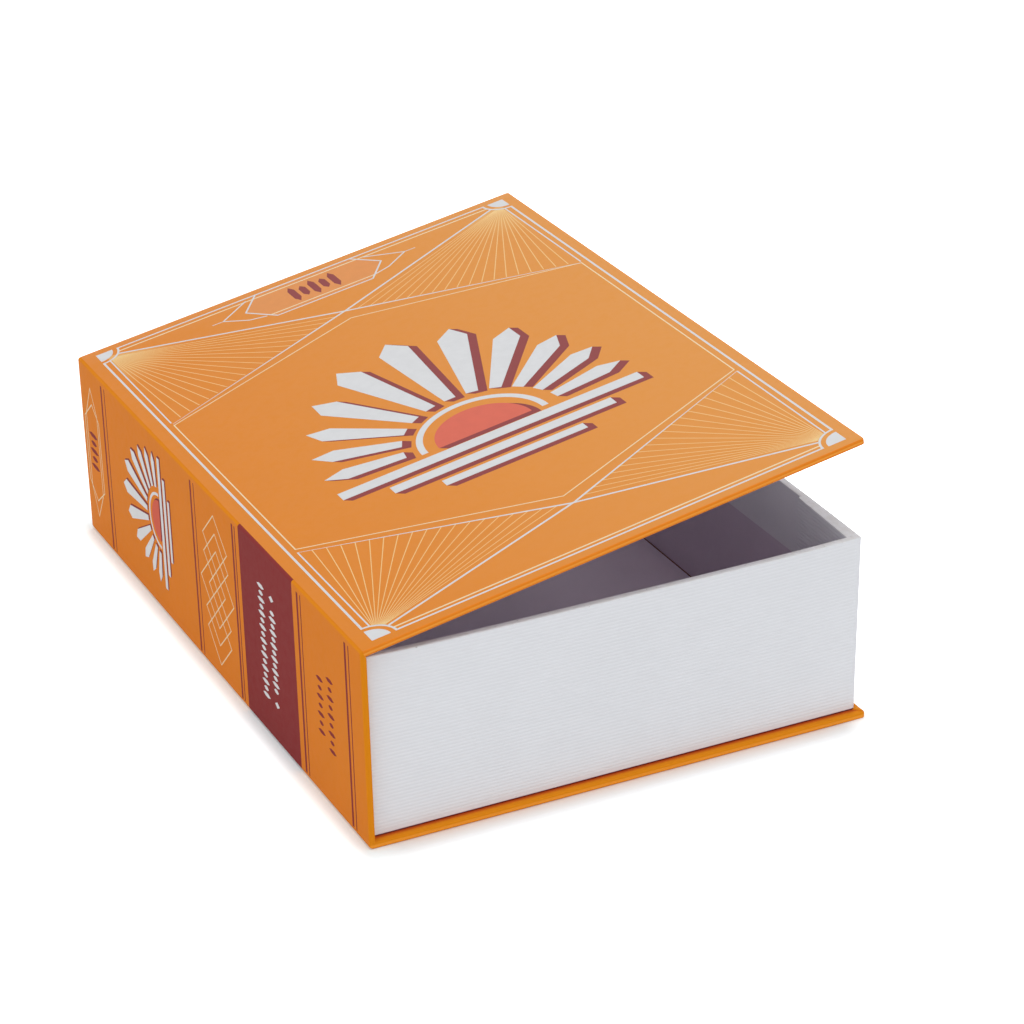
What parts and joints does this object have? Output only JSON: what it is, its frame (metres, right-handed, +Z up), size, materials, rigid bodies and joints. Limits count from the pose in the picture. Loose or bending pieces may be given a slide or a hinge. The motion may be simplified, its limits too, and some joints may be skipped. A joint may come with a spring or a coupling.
{
  "type": "book box",
  "caption": "Box in the shape of a thick hardback book: a paper-covered tray for papers, glued into a case whose front cover is the hinged lid.",
  "frame": {"origin": "on the table under the middle of the box's outer size, with the lid ajar as pictured", "axes": "+X from the spine to the fore-edge, +Y from the tail to the head, +Z up"},
  "size_m": [0.225, 0.3286, 0.1284],
  "materials": {
    "board": "matt greyboard",
    "printed_paper": "matt laminated printed paper, orange",
    "print_white": "white of the print",
    "print_cream": "pale cream of the print",
    "print_maroon": "maroon of the print",
    "print_coral": "coral of the print",
    "page_paper": "matt white paper with fine ribs",
    "lining_paper": "matt lilac grey paper",
    "stay_paper": "brown gummed paper"
  },
  "bodies": {
    "case": {"back_board": "board", "spine_board": "board", "back_wrap": "printed_paper", "spine_wrap": "printed_paper", "hinge_crease": "printed_paper", "hinge_strip": "lining_paper", "tray_floor": "board", "spine_side_wall": "board", "fore_edge_wall": "board", "tail_wall": "board", "head_wall": "board", "corner_stays": "stay_paper", "tail_pages": "page_paper", "head_pages": "page_paper", "fore_edge_pages": "page_paper", "spine_side_pages": "page_paper", "floor_lining": "lining_paper", "tail_lining": "lining_paper", "head_lining": "lining_paper", "fore_edge_lining": "lining_paper", "spine_side_lining": "lining_paper"},
    "lid": {"front_board": "board", "front_wrap": "printed_paper", "front_lining": "lining_paper"}
  },
  "joints": [
    {"name": "lid_hinge", "type": "hinge", "parent": "case", "child": "lid", "pos_m": [-0.1125, 0, 0.087], "axis": [0, -1, 0], "range_deg": [-10.9, 191.5]}
  ]
}
